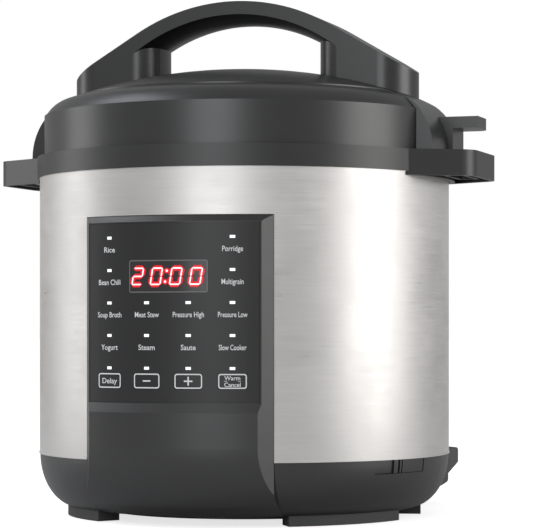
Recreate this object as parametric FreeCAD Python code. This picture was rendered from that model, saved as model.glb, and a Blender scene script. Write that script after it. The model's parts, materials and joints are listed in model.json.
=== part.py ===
import FreeCAD, Part
import math
import os

# An electric pressure cooker: a steel drum on a moulded bowl, with a bayonet lid.
# Millimetres. X to the right, Y to the back, Z up; the control panel faces -Y.
# The origin is the centre of the floor under the feet.

# --- driving dimensions -----------------------------------------------------------------
DRUM_R = 134.5            # outer radius of the steel drum
DRUM_WALL = 0.8
DRUM_Z = (40.2, 220.2)
HEM = 1.2                 # height of the rolled edges of the drum

BOWL_R = 134.2            # the moulded bowl under the drum
BOWL_TOP = 40.0
BOWL_FLOOR = 5.5
BOWL_FLAT_R = 110.0       # where the floor of the bowl starts to curve up
WALL = 2.5                # wall of the large mouldings

FOOT_R = (100.0, 116.0)
FOOT_ANGLES = (55, 125, 235, 305)
FOOT_SPREAD = 22          # half of the angle that one foot covers

RIM_R = 136.0
RIM_TOP = 233.2
RIM_BORE = 124.5
LUG_END = 163.0           # how far the carrying lugs reach along X
LUG_HALF = 30.6           # half width at the lug's sharp corners, before rounding
LUG_BOTTOM = 217.0
SLOT_X = 147.0            # middle of the slot that the lid stands in
SLOT_SIZE = (9.5, 38.0)

FASCIA_X = 61.06          # half width of the front housing, where it meets the drum
FASCIA_TOP = 190.0
PANEL_R = 140.5           # radius of the control panel's face
PANEL_ANGLE = 23.5        # half of the angle it covers
PANEL_Z = (76.0, 186.0)
APRON_R = 142.5           # radius of the plain face below the panel
APRON_TOP = 70.4
PANEL_SHEET = 1.2
KEY_ANGLES = (-16.5, -5.5, 5.5, 16.5)
KEY_NAMES = ("key_delay", "key_minus", "key_plus", "key_cancel")
KEY_SIZE = (17.5, 9.2)
KEY_Z = 89.6
KEY_GAP = 0.25
LAMP_SIZE = (3.3, 1.7)
LAMP_ROWS = ((176.5, (-16.5, 16.5)), (156.7, (-16.5, 16.5)), (136.9, KEY_ANGLES),
             (117.1, KEY_ANGLES), (97.3, KEY_ANGLES))
SCREEN_ANGLE = 10.4
SCREEN_Z = (143.0, 162.7)
BOARD_Y = -126.0          # front face of the control board
BOARD_Z = 16.0            # underside of the power board
BOARD_HOLES = ((-54, 20), (54, 20), (48, 58), (-48, 58))

POT_R = 111.0             # inner pot
POT_WALL = 1.2
POT_FLOOR = 70.0
POT_RIM_R = 115.8
POT_RIM_TOP = 222.4
LINER_R = 114.6           # the fixed steel liner that the inner pot stands in
LINER_WALL = 1.2
LINER_FLOOR = 50.2
NECK_R = 124.0
NECK_TOP = 221.5
TOOTH_R = 119.2           # inner reach of the bayonet teeth
TOOTH_COUNT = 6
TOOTH_ANGLE = 27          # angle of one tooth, and of one tab of the lid

PLATE_TOP = 69.7
PLATE_R = 88.0
TUBE_RING_R = 60.0        # the heating tube's ring, its own radius and its height
TUBE_R = 3.4
TUBE_Z = 56.0
TUBE_ENDS = (168, 192)    # angles of its two ends, from the front

LID_BOTTOM = 233.6
SKIRT_R = 131.5
SKIRT_TOP = 260.0
ROOF_WALL = 2.8
CROWN_R = 110.0           # edge of the dome; a sloping shoulder runs from there to the skirt
DOME_TOP = 290.6
DOME_R = 350.0
EAR_X = 137.2
EAR_HALF = 35.0
EAR_ROUND = 40.0          # the ears leave the dome along this radius
EAR_SPRING = 235.0        # height at which the ear's vertical face turns into the round
DISH_R = 118.0
DISH_WALL = 1.2
DISH_TOP = 246.0
TAB_R = 122.2
TAB_Z = (218.6, 221.0)

GRIP_TOP = 334.5
GRIP_ARC = 132.0          # radius of the grip's arched top
GRIP_ARC_END = 67.0       # X at which the arch turns into a straight slope
GRIP_END = 118.2
GRIP_HALF = 23.0
PILLAR = (54.1, 70.6, 97.5)   # X of the pillar's inner end and of its flat sides
ARCH_R = 112.0            # radius of the underside of the grip
ARCH_TOP = 321.0
ARCH_DROP = 5.0           # how much lower the grip's belly is than its edges

VALVE_XY = (-34.0, 84.0)
VALVE_SEAT = 283.2        # top of the round seat that the steam knob turns on
FLOAT_XY = (30.0, 84.0)
FLOAT_R = 4.2
FLOAT_BORE = 4.6

INLET_ANGLE = 147.5       # from the front, towards +X
INLET_R = 165.0
INLET_HALF = 30.0

CUP_HALF = 26.0
CUP_Y = (139.2, 163.0)
CUP_Z = (140.0, 198.0)
CUP_WALL = 2.0

FAR = 400.0               # longer than anything here

V = FreeCAD.Vector
Z_AXIS = V(0, 0, 1)
ORIGIN = V(0, 0, 0)


# --- helpers ----------------------------------------------------------------------------
def box(x, y, z):
    """A box between the two limits given for each axis."""
    return Part.makeBox(x[1] - x[0], y[1] - y[0], z[1] - z[0], V(x[0], y[0], z[0]))


def rod(radius, z, x=0.0, y=0.0):
    """An upright cylinder between two heights."""
    return Part.makeCylinder(radius, z[1] - z[0], V(x, y, z[0]))


def bar(radius, start, end):
    """A cylinder from one point to another."""
    along = V(*end) - V(*start)
    return Part.makeCylinder(radius, along.Length, V(*start), along)


def ring(outer, inner, z):
    """An upright tube on the Z axis."""
    return rod(outer, z).cut(rod(inner, z))


def wire(corners, place):
    """A closed wire through corners (u, v, radius); place turns u, v into a point."""
    spots = [V(c[0], c[1], 0) for c in corners]
    radii = [c[2] if len(c) > 2 else 0 for c in corners]
    runs = []
    for i, spot in enumerate(spots):
        back = (spots[i - 1] - spot).normalize()
        ahead = (spots[(i + 1) % len(spots)] - spot).normalize()
        if not radii[i]:
            runs.append((spot, None, spot))
            continue
        half = back.getAngle(ahead) / 2
        reach = radii[i] / math.tan(half)
        inward = (back + ahead).normalize()
        middle = spot + inward * (radii[i] / math.sin(half) - radii[i])
        runs.append((spot + back * reach, middle, spot + ahead * reach))
    edges = []
    for i, (start, middle, end) in enumerate(runs):
        before = runs[i - 1][2]
        if before.distanceToPoint(start) > 1e-6:
            edges.append(Part.LineSegment(place(before), place(start)).toShape())
        if middle is not None:
            edges.append(Part.Arc(place(start), place(middle), place(end)).toShape())
    return Part.Wire(edges)


def turned(corners):
    """A solid of revolution about Z, from corners (radius, height, rounding)."""
    face = Part.Face(wire(corners, lambda p: V(p.x, 0, p.y)))
    return face.revolve(ORIGIN, Z_AXIS, 360)


def plate(corners, z):
    """A flat plate with the plan outline given, between two heights."""
    face = Part.Face(wire(corners, lambda p: V(p.x, p.y, z[0])))
    return face.extrude(V(0, 0, z[1] - z[0]))


def across(corners, y):
    """A solid with the outline (x, z) given, between two places along Y."""
    face = Part.Face(wire(corners, lambda p: V(p.x, y[0], p.y)))
    return face.extrude(V(0, y[1] - y[0], 0))


def along_x(corners, x):
    """A solid with the outline (y, z) given, between two places along X."""
    face = Part.Face(wire(corners, lambda p: V(x[0], p.x, p.y)))
    return face.extrude(V(x[1] - x[0], 0, 0))


def spun(shape, angle, x=0.0, y=0.0):
    """A copy turned about an upright axis; 0 keeps the front at the front."""
    copy = shape.copy()
    copy.rotate(V(x, y, 0), Z_AXIS, angle)
    return copy


def mirrored(shape):
    """The same shape on the other side of the YZ plane."""
    return shape.mirror(ORIGIN, V(1, 0, 0))


def wedge(angles, z, reach=FAR):
    """Everything between two angles from the front, as a cutting tool."""
    first, last = (math.radians(a) for a in angles)
    middle = (first + last) / 2
    stretch = reach / math.cos((last - first) / 2)
    points = [(0, 0)]
    for angle in (first, middle, last):
        far = stretch if angle != middle else reach * 1.5
        points.append((far * math.sin(angle), -far * math.cos(angle)))
    return plate(points, z)


def sector(outer, inner, angles, z):
    """A piece of a tube between two angles from the front."""
    return ring(outer, inner, z).common(wedge(angles, z))


def fused(shapes):
    """One solid from touching or crossing solids."""
    shapes = list(shapes)
    return shapes[0].fuse(shapes[1:]).removeSplitter() if len(shapes) > 1 else shapes[0]


def group(shapes):
    """Separate solids kept together in one node."""
    return Part.makeCompound(list(shapes))


def polar(radius, angle):
    """X and Y of a point at an angle from the front."""
    return radius * math.sin(math.radians(angle)), -radius * math.cos(math.radians(angle))


def ball(radius):
    """The sphere that shapes the lid's dome, at the given radius."""
    return Part.makeSphere(radius, V(0, 0, DOME_TOP - DOME_R))


def dome_z(x, y, radius=DOME_R):
    """Height of the dome above a point of the plan."""
    return DOME_TOP - DOME_R + math.sqrt(radius ** 2 - x * x - y * y)


def coil(radius, half, z, turns):
    """An upright compression spring of square wire, half of which is given."""
    height = z[1] - z[0] - 2 * half
    path = Part.makeHelix(height / turns, height, radius)
    path.translate(V(0, 0, z[0] + half))
    low, high = z[0], z[0] + 2 * half
    corners = [V(radius - half, 0, low), V(radius + half, 0, low), V(radius + half, 0, high),
               V(radius - half, 0, high)]
    section = Part.makePolygon(corners + corners[:1])
    return Part.Wire(path).makePipeShell([section], True, True)


def bowl_region(shrink):
    """The bowl as a full solid of revolution, drawn in by shrink on every side."""
    centre = V(BOWL_FLAT_R, 0, BOWL_TOP)
    return curved_region(centre, BOWL_R - BOWL_FLAT_R - shrink,
                         BOWL_TOP - BOWL_FLOOR - shrink, BOWL_TOP)


def curved_region(centre, half_wide, half_high, top):
    """A solid of revolution whose lower outer edge is a quarter of an ellipse."""
    low = V(centre.x, 0, centre.z - half_high)
    side = V(centre.x + half_wide, 0, centre.z)
    if half_high > half_wide:
        oval = Part.Ellipse(low, side, centre)
        quarter = Part.ArcOfEllipse(oval, 0, math.pi / 2).toShape()
    else:
        oval = Part.Ellipse(side, low, centre)
        quarter = Part.ArcOfEllipse(oval, 0, math.pi / 2).toShape()
    corners = [side, V(side.x, 0, top), V(0, 0, top), V(0, 0, low.z), low]
    edges = [quarter]
    for start, end in zip(corners, corners[1:]):
        if start.distanceToPoint(end) > 1e-6:
            edges.append(Part.LineSegment(start, end).toShape())
    return Part.Face(Part.Wire(Part.__sortEdges__(edges))).revolve(ORIGIN, Z_AXIS, 360)


# --- the fixed base ---------------------------------------------------------------------
def base_shell():
    body = bowl_region(0).cut(bowl_region(WALL))
    body = body.cut(rod(80, (0, 20)))
    body = body.fuse(ring(133.4, 130.9, (BOWL_TOP - 4, BOWL_TOP + 6)))
    bosses = [spun(rod(4, (BOWL_FLOOR, 16), 0, -85), a) for a in (45, 135, 225, 315)]
    body = fused([body] + bosses)
    body = body.cut(fused(spun(rod(1.6, (0, 20), 0, -85), a) for a in (45, 135, 225, 315)))
    front = box((-FASCIA_X - 0.2, FASCIA_X + 0.2), (-160, -80), (0, 60)).cut(rod(106, (0, 60)))
    body = body.cut(front)
    body = body.cut(wedge((56.3, 76.7), (31.5, 60)).cut(rod(126, (0, 60))))
    return body.cut(inlet_tunnel(14.2, (17.3, 36.7)))


def inlet_tunnel(half, z):
    """The straight hole that the power inlet sits in."""
    return spun(box((-half, half), (-INLET_R - 10, -118), z), INLET_ANGLE)


def bottom_cover():
    slots = [box((-32, 32), (y - 1.5, y + 1.5), (0, 10)) for y in range(-48, 49, 12)]
    holes = [spun(rod(1.6, (0, 10), 0, -85), a) for a in (45, 135, 225, 315)]
    sinks = [spun(rod(3.6, (0, 4.2), 0, -85), a) for a in (45, 135, 225, 315)]
    disc = rod(90, (2.8, BOWL_FLOOR)).fuse(ring(79.6, 76, (BOWL_FLOOR, 9)))
    posts = [rod(3.4, (BOWL_FLOOR, BOARD_Z), x, y) for x, y in BOARD_HOLES]
    bores = [rod(1.2, (8, BOARD_Z + 1), x, y) for x, y in BOARD_HOLES]
    return fused([disc] + posts).cut(fused(slots + holes + sinks + bores))


def rubber_feet():
    pads = []
    for angle in FOOT_ANGLES:
        pad = sector(FOOT_R[1], FOOT_R[0], (angle - FOOT_SPREAD, angle + FOOT_SPREAD), (0, 9))
        pads.append(pad.cut(bowl_region(0)))
    return group(pads)


def base_screws():
    screw = rod(3.2, (2.9, 4.2), 0, -85).fuse(rod(1.6, (4.2, 14), 0, -85))
    screw = screw.cut(box((-2, 2), (-85.4, -84.6), (2.5, 3.5)))
    return group(spun(screw, a) for a in (45, 135, 225, 315))


def steel_shell():
    inside = DRUM_R - DRUM_WALL
    body = ring(DRUM_R, inside, DRUM_Z)
    for z in (DRUM_Z[0], DRUM_Z[1] - HEM):
        body = body.fuse(ring(DRUM_R + 0.4, inside, (z, z + HEM)))
    front = box((-FASCIA_X - 0.2, FASCIA_X + 0.2), (-160, -80), (30, FASCIA_TOP + 0.3))
    return body.cut(front)


def lug_outline(inset):
    """Plan corners of both lugs in one outline, drawn in by inset."""
    tip = LUG_END - inset
    half = LUG_HALF - inset
    root = LUG_HALF + 0.552 * (LUG_END - 110) - inset
    corner = 13.5 - inset
    side = [(110, -root, 0), (tip, -half, corner), (tip, half, corner), (110, root, 0)]
    return side


def rim_ring():
    deck = 3.2
    body = ring(RIM_R, RIM_BORE, (RIM_TOP - deck, RIM_TOP))
    body = body.fuse(ring(RIM_R, DRUM_R + 0.6, (DRUM_Z[1] - 0.8, RIM_TOP)))
    body = body.fuse(ring(RIM_R, 131.5, (DRUM_Z[1], RIM_TOP)))
    body = body.fuse(ring(133.5, 131.5, (212, RIM_TOP)))
    body = body.fuse(ring(RIM_BORE + 2, RIM_BORE, (NECK_TOP + 2.8, RIM_TOP)))
    lug = plate(lug_outline(0), (LUG_BOTTOM, RIM_TOP + 0.1))
    lug = lug.cut(plate(lug_outline(2.8), (LUG_BOTTOM, RIM_TOP - deck)))
    lug = lug.fuse(sector(138.5, DRUM_R + 0.6, (70, 110), (LUG_BOTTOM, RIM_TOP)))
    lug = lug.cut(rod(DRUM_R + 0.6, (200, RIM_TOP + 1)))
    lug = lug.cut(box((SLOT_X - 6.8, SLOT_X + 6.8), (-21.1, 21.1), (200, 240)))
    return fused([body, lug, mirrored(lug)])


def slot_sleeves():
    half = SLOT_SIZE[0] / 2
    outer = box((SLOT_X - 6.8, SLOT_X + 6.8), (-21.1, 21.1), (LUG_BOTTOM + 1, RIM_TOP + 0.1))
    hole = box((SLOT_X - half, SLOT_X + half), (-SLOT_SIZE[1] / 2, SLOT_SIZE[1] / 2), (200, 240))
    sleeve = outer.cut(hole)
    return group([sleeve, mirrored(sleeve)])


def fascia_prism(inset):
    """Plan of the front housing: straight sides, then bevels towards the face."""
    side = FASCIA_X - inset
    knee = -math.sqrt(DRUM_R ** 2 - FASCIA_X ** 2)
    face = side - 0.5375 * 30
    return plate([(-side, -95), (side, -95), (side, knee), (face, knee - 30),
                  (-face, knee - 30), (-side, knee)], (0, FASCIA_TOP + 5))


def fascia_region(inset):
    """The front housing's outer surface as a solid, drawn in by inset."""
    low = curved_region(V(BOWL_FLAT_R, 0, 50), APRON_R - BOWL_FLAT_R - inset,
                        50 - BOWL_FLOOR - inset, 50)
    high = turned([(0, 49), (APRON_R - inset, 49), (APRON_R - inset, APRON_TOP - inset / 4),
                   (PANEL_R - inset, PANEL_Z[0] - inset / 4), (PANEL_R - inset, PANEL_Z[1] - inset),
                   (DRUM_R - inset, FASCIA_TOP - inset), (0, FASCIA_TOP - inset)])
    return low.fuse(high).common(fascia_prism(inset))


def fascia():
    body = fascia_region(0).cut(fascia_region(2.8))
    behind = bowl_region(0).fuse(rod(128, (0, 200))).cut(
        bowl_region(0).cut(bowl_region(WALL)).cut(rod(106.2, (0, 60))))
    body = body.cut(behind).cut(rod(106.2, (0, 60)))
    body = body.cut(ring(133.5, 130.8, (20, BOWL_TOP + 6.2)).cut(fascia_prism(0)))
    pocket = sector(FAR / 2, PANEL_R - PANEL_SHEET, (-23.3, 23.3), (76.4, 185.4))
    body = body.cut(pocket.cut(rod(PANEL_R - PANEL_SHEET, (0, 200))))
    body = body.cut(wedge((-9.6, 9.6), (144, 161.7)))
    holes = [key_block(a, -0.6, 100, 160) for a in KEY_ANGLES] + lamp_blocks(100, 160)
    return largest(body.cut(fused(holes)))


def largest(shape):
    """The biggest solid of a shape that a cut may have split."""
    return max(shape.Solids, key=lambda s: s.Volume)


def key_block(angle, shrink, near, far):
    """The outline of one key as a block reaching between two radii."""
    half = KEY_SIZE[0] / 2 - shrink
    tall = KEY_SIZE[1] / 2 - shrink
    block = across([(-half, KEY_Z - tall, 1.5), (half, KEY_Z - tall, 1.5),
                    (half, KEY_Z + tall, 1.5), (-half, KEY_Z + tall, 1.5)], (-far, -near))
    return spun(block, angle)


def lamp_blocks(near, far):
    """The bars of clear plastic that lead light to the panel."""
    half, tall = LAMP_SIZE[0] / 2, LAMP_SIZE[1] / 2
    return [spun(box((-half, half), (-far, -near), (z - tall, z + tall)), a)
            for z, angles in LAMP_ROWS for a in angles]


def control_panel():
    sheet = sector(PANEL_R, PANEL_R - PANEL_SHEET, (-23.1, 23.1), (76.6, 185.2))
    sheet = sheet.cut(wedge((-SCREEN_ANGLE, SCREEN_ANGLE), SCREEN_Z))
    holes = [key_block(a, -KEY_GAP, 100, 160) for a in KEY_ANGLES] + lamp_blocks(100, 160)
    return sheet.cut(fused(holes))


def display_window():
    return sector(PANEL_R - 0.2, PANEL_R - PANEL_SHEET, (-SCREEN_ANGLE, SCREEN_ANGLE), SCREEN_Z)


def display_module():
    return box((-24, 24), (BOARD_Y - 8, BOARD_Y), (145, 161))


def indicator_lenses():
    face = rod(PANEL_R, (0, 200)).cut(rod(133.5, (0, 200)))
    return group(b.common(face) for b in lamp_blocks(100, 160))


def control_board():
    board = box((-47, 47), (BOARD_Y, BOARD_Y + 1.6), (83, 181))
    holes = [bar(1.6, (x, BOARD_Y - 1, z), (x, BOARD_Y + 3, z)) for x in (-43, 43) for z in (88, 176)]
    return board.cut(fused(holes))


def tact_switches():
    switches = []
    for angle in KEY_ANGLES:
        x = polar(PANEL_R, angle)[0] * 0.955
        body = box((x - 3, x + 3), (BOARD_Y - 3.2, BOARD_Y), (KEY_Z - 3, KEY_Z + 3))
        nub = bar(1.75, (x, BOARD_Y - 4.0, KEY_Z), (x, BOARD_Y - 3.2, KEY_Z))
        switches.append(body.fuse(nub))
    return group(switches)


def key(angle):
    """A key cap with the stem that reaches towards its switch."""
    cap = key_block(angle, 0, 100, 160)
    cap = cap.common(rod(PANEL_R, (0, 200)).cut(rod(137.2, (0, 200))))
    stem_end = (-BOARD_Y + 5.6) / math.cos(math.radians(angle))
    if stem_end > 137:
        return cap
    stem = spun(bar(2, (0, -138, KEY_Z), (0, -stem_end, KEY_Z)), angle)
    return cap.fuse(stem)


def vent_insert():
    face = bowl_region(0.2).cut(bowl_region(WALL)).cut(rod(126.5, (0, 60)))
    grille = bowl_region(1.4).cut(bowl_region(WALL + 1.2)).cut(rod(126.5, (0, 60)))
    panel = face.common(wedge((66.6, 76.4), (31.8, BOWL_TOP)))
    rails = [face.common(wedge(a, (31.8, BOWL_TOP))) for a in ((63.2, 64.8), (65.5, 66.2))]
    floor = grille.common(wedge((56.6, 67.2), (31.8, BOWL_TOP)))
    return fused([panel, floor] + rails)


def inlet_housing():
    low = [(-128, 12), (-146, 13.5, 2), (-INLET_R, 29, 1.5), (-INLET_R, 39, 2), (-136, 42), (-128, 42)]
    full = [(-128, 12), (-158, 12, 3), (-INLET_R, 15, 3), (-INLET_R, 39, 2), (-136, 42), (-128, 42)]
    body = along_x(low, (-INLET_HALF, INLET_HALF)).fuse(along_x(full, (-20, 20)))
    body = spun(body, INLET_ANGLE).cut(bowl_region(0)).cut(rod(DRUM_R + 0.6, (BOWL_TOP, 60)))
    return body.cut(inlet_tunnel(14.2, (17.3, 36.7)))


def power_inlet():
    shell = box((-14.2, 14.2), (-INLET_R + 1, -122), (17.3, 36.7))
    cavity = box((-12, 12), (-INLET_R, -146), (19.2, 34.8))
    return spun(shell.cut(cavity), INLET_ANGLE).cut(fused(pin_blades()))


def pin_blades():
    """The three contact blades, moulded into the inlet's back wall."""
    places = ((-7, 26.6), (7, 26.6), (0, 31))
    return [spun(box((x - 1, x + 1), (-158, -118), (z - 2, z + 2)), INLET_ANGLE) for x, z in places]


def inlet_pins():
    return group(pin_blades())


# --- inside the base --------------------------------------------------------------------
def outer_pot():
    floor = LINER_FLOOR
    outer = turned([(0, floor), (LINER_R, floor, 12), (LINER_R, 206, 3), (NECK_R, 212, 3),
                    (NECK_R, NECK_TOP), (0, NECK_TOP)])
    bore = LINER_R - LINER_WALL
    neck = NECK_R - LINER_WALL
    inner = turned([(0, floor + 1.2), (bore, floor + 1.2, 10.8), (bore, 206.5, 3),
                    (neck, 212.5, 3), (neck, NECK_TOP), (0, NECK_TOP)])
    body = outer.cut(inner).cut(rod(17, (40, 60)))
    leads = [rod(5, (40, 60), *polar(TUBE_RING_R, a)) for a in TUBE_ENDS]
    return body.cut(fused(leads))


def bayonet_ring():
    z = (NECK_TOP, NECK_TOP + 2.8)
    pitch = 360 / TOOTH_COUNT
    teeth = [spun(sector(125, TOOTH_R, (-TOOTH_ANGLE / 2, TOOTH_ANGLE / 2), z), i * pitch)
             for i in range(TOOTH_COUNT)]
    return fused([ring(131.5, 123.4, z)] + teeth)


def heating_plate():
    """The cast plate, with the channel underneath that the heating tube is pressed into."""
    inner, outer = TUBE_RING_R - TUBE_R, TUBE_RING_R + TUBE_R
    low = LINER_FLOOR + LINER_WALL
    roof = TUBE_Z + TUBE_R
    return turned([(17, 59.7), (inner - 4.6, 59.7), (inner - 4.6, low), (inner, low), (inner, roof),
                   (outer, roof), (outer, low), (outer + 4.6, low), (outer + 4.6, 59.7),
                   (PLATE_R, 59.7, 2), (PLATE_R, PLATE_TOP, 2), (17, PLATE_TOP)])


def heating_tube():
    loop = Part.makeTorus(TUBE_RING_R, TUBE_R, V(0, 0, TUBE_Z)).cut(wedge(TUBE_ENDS, (40, 70)))
    ends = [rod(TUBE_R, (40, TUBE_Z), *polar(TUBE_RING_R, a)) for a in TUBE_ENDS]
    caps = [Part.makeSphere(TUBE_R, V(*polar(TUBE_RING_R, a), TUBE_Z)) for a in TUBE_ENDS]
    return largest(loop.fuse(ends + caps))


def elastic_plate():
    """The sprung disc under the heater, with its posts and the sensor's seat."""
    body = ring(84, 5.3, (44.6, 46.2)).fuse(ring(14, 5.3, (43, 46.2)))
    posts = [rod(3.5, (46.2, LINER_FLOOR), *polar(40, a)) for a in (60, 180, 300)]
    gaps = [rod(6, (40, 60), *polar(TUBE_RING_R, a)) for a in TUBE_ENDS]
    return fused([body] + posts).cut(fused(gaps))


def pressure_switch():
    case = box((-12, 12), (-58, -44), (32, 42))
    button = rod(3, (42, 44.6), 0, -51)
    tabs = [box((x - 0.4, x + 0.4), (-54, -48), (26, 32)) for x in (-7, 7)]
    return fused([case, button] + tabs)


def thermal_fuse():
    body = bar(3, (-70, -14, 41.6), (-70, 14, 41.6))
    leads = [bar(0.6, (-70, s * 14, 41.6), (-70, s * 26, 41.6)) for s in (-1, 1)]
    return fused([body] + leads)


def power_board():
    board = plate([(-62, 14, 4), (62, 14, 4), (52, 66, 4), (-52, 66, 4)], (BOARD_Z, BOARD_Z + 1.6))
    return board.cut(fused(rod(1.7, (10, 20), x, y) for x, y in BOARD_HOLES))


def transformer():
    core = box((-42, -10), (22, 48), (17.6, 38))
    winding = box((-37, -15), (17, 53), (20, 35.6))
    return core.fuse(winding)


def relay():
    return box((2, 22), (26, 42), (17.6, 33.6))


def capacitors():
    tall = [rod(6.5, (17.6, 37), 36, y) for y in (32, 50)]
    return group(tall + [rod(4, (17.6, 30), 24, 56)])


def tie_rods():
    rods = []
    for angle in (20, 140, 260):
        x, y = polar(95, angle)
        rods.append(fused([rod(2.5, (BOWL_FLOOR + WALL, LINER_FLOOR), x, y), rod(5, (8, 12), x, y),
                           rod(4.5, (LINER_FLOOR - 4, LINER_FLOOR), x, y)]))
    return group(rods)


def ribbon_cable():
    """The flat cable from the control board down and back to the power board."""
    corners = [(BOARD_Y + 1.6, 86), (-120.6, 86, 2), (-120.6, 60, 6), (-100, 18.6, 8), (15, 18.6, 0.6),
               (15, 17.6), (15.8, 17.6), (15.8, 19.4, 1.4), (-99.4, 19.4, 8), (-119.8, 60.2, 6),
               (-119.8, 86.8, 2), (BOARD_Y + 1.6, 86.8)]
    return along_x(corners, (-4, 8))


def heater_leads():
    ends = [polar(TUBE_RING_R, a) for a in TUBE_ENDS]
    return group(rod(1.5, (BOARD_Z + 1.6, 40), x, y) for x, y in ends)


def sensor_spring():
    return coil(9.5, 0.8, (46.3, 60.9), 4)


def thermal_sensor():
    cap = turned([(0, 61), (13, 61), (13, PLATE_TOP, 1.5), (0, PLATE_TOP)])
    skirt = ring(13, 11.8, (56, 62))
    stem = rod(5, (34, 62))
    return fused([cap, skirt, stem])


def cup_bracket():
    y = (DRUM_R + 0.5, CUP_Y[0] - 0.5)
    back = box((-32, 32), (125, y[1]), (134, 206)).cut(rod(DRUM_R + 0.45, (0, 300)))
    rails = []
    for side in (-1, 1):
        x = sorted((side * (CUP_HALF + 0.6), side * 32))
        rail = box(x, (y[1] - 1, 158), (176, 200))
        groove_x = sorted((side * (CUP_HALF + 0.4), side * (CUP_HALF + 3)))
        rails.append(rail.cut(box(groove_x, (y[1], 170), (185.5, 189.5))))
    roof = box((-32, 32), (y[1] - 1, 160), (200.5, 204)).fuse(box((-32, 32), (y[1] - 1, 158), (200, 201)))
    roof = roof.cut(box((-24, 24), (CUP_Y[0], 170), (190, 202)))
    drain = box((-8, 8), (CUP_Y[0] - 8, 150), (204, 209)).cut(rod(DRUM_R + 0.45, (0, 300)))
    drain = drain.cut(box((-6, 6), (CUP_Y[0], 148), (199, 207)))
    return fused([back] + rails + [roof, drain])


# --- the condensation cup ---------------------------------------------------------------
def condensation_cup():
    z = (CUP_Z[0], CUP_Z[1])
    outline = [(-CUP_HALF, CUP_Y[0], 2), (CUP_HALF, CUP_Y[0], 2), (CUP_HALF, CUP_Y[1], 9),
               (-CUP_HALF, CUP_Y[1], 9)]
    half = CUP_HALF - CUP_WALL
    inside = [(-half, CUP_Y[0] + CUP_WALL, 1), (half, CUP_Y[0] + CUP_WALL, 1),
              (half, CUP_Y[1] - CUP_WALL, 7), (-half, CUP_Y[1] - CUP_WALL, 7)]
    body = plate(outline, z).cut(plate(inside, (z[0] + CUP_WALL, z[1] + 1)))
    ribs = [box(sorted((s * (CUP_HALF - 0.5), s * (CUP_HALF + 2))), (CUP_Y[0] + 2, 154), (186, 189))
            for s in (-1, 1)]
    return fused([body] + ribs)


# --- the inner pot and the seal ---------------------------------------------------------
def inner_pot():
    outer = turned([(0, POT_FLOOR), (POT_R, POT_FLOOR, 14), (POT_R, POT_RIM_TOP), (0, POT_RIM_TOP)])
    outer = outer.fuse(rod(POT_RIM_R, (POT_RIM_TOP - POT_WALL, POT_RIM_TOP)))
    bore = POT_R - POT_WALL
    inner = turned([(0, POT_FLOOR + POT_WALL), (bore, POT_FLOOR + POT_WALL, 12.8),
                    (bore, POT_RIM_TOP + 1), (0, POT_RIM_TOP + 1)])
    return outer.cut(inner)


def sealing_ring():
    return turned([(108.2, 223.0, 1), (116.2, 223.0, 1), (116.2, 232.8, 2), (110.4, 232.8, 1),
                   (110.4, 230.2, 0.8), (113.4, 230.2, 1), (113.4, 226, 1), (108.2, 226, 1)])


# --- the lid ----------------------------------------------------------------------------
def ear_band(inset):
    """A band over the lid from ear to ear, rounded down at both ends and drawn in by inset."""
    side = EAR_X - inset
    top = EAR_SPRING + EAR_ROUND - inset
    slab = box((-side, side), (-EAR_HALF, EAR_HALF), (EAR_SPRING, 300))
    for x in (EAR_ROUND - EAR_X, EAR_X - EAR_ROUND):
        round_end = bar(EAR_ROUND - inset, (x, -EAR_HALF, EAR_SPRING), (x, EAR_HALF, EAR_SPRING))
        corner = box(sorted((x, math.copysign(FAR, x))), (-EAR_HALF, EAR_HALF), (EAR_SPRING, 300))
        slab = slab.cut(corner.cut(round_end))
    foot = box((-side, side), (-EAR_HALF, EAR_HALF), (LID_BOTTOM, EAR_SPRING))
    return slab.fuse(foot).common(ball(DOME_R - inset)).removeSplitter()


def cover_region(inset):
    """The outside of the lid's cover as a full solid, drawn in by inset."""
    edge = SKIRT_R - 0.6 - inset * 1.2
    shoulder = turned([(0, LID_BOTTOM), (edge, LID_BOTTOM), (edge, SKIRT_TOP - inset / 3),
                       (124.5 - inset * 0.7, 268.6 - inset, 20), (CROWN_R + 1, 271.9 - inset),
                       (0, 271.9 - inset)])
    over_ears = box((-FAR, FAR), (-EAR_HALF, EAR_HALF), (LID_BOTTOM, 300))
    crown = rod(CROWN_R - inset, (LID_BOTTOM, 300)).common(ball(DOME_R - inset))
    return fused([shoulder.cut(over_ears), crown.cut(over_ears), ear_band(inset)])


def skirt_region():
    """The round wall under the cover, trimmed where the ears curve in over it."""
    over_ears = box((-FAR, FAR), (-EAR_HALF, EAR_HALF), (LID_BOTTOM, SKIRT_TOP))
    return rod(SKIRT_R, (LID_BOTTOM, SKIRT_TOP)).cut(over_ears.cut(ear_band(ROOF_WALL)))


def lid_cover():
    inside = cover_region(ROOF_WALL).common(rod(SKIRT_R - 3.6, (200, 300)))
    body = cover_region(0).cut(inside).cut(skirt_region())
    seam = ring(CROWN_R + 0.8, CROWN_R, (271, 280))
    body = body.cut(seam.cut(box((-FAR, FAR), (-EAR_HALF, EAR_HALF), (200, 300))))
    posts = [rod(4.5, (DISH_TOP - 8, 285), *polar(75, a)) for a in (30, 150, 270)]
    posts = fused(posts).common(ball(DOME_R - 1)).cut(dish_region(0))
    seat = rod(17.5, (270, VALVE_SEAT), *VALVE_XY).cut(ball(DOME_R - 1))
    body = body.fuse([posts, seat])
    drill = [rod(1.7, (200, 262), *polar(75, a)) for a in (30, 150, 270)]
    drill += [rod(2.1, (260, 300), x, 0) for x in (-84, 84)]
    drill += [rod(FLOAT_BORE, (260, 300), *FLOAT_XY), rod(5.4, (260, 300), *VALVE_XY)]
    return body.cut(fused(drill))


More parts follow.
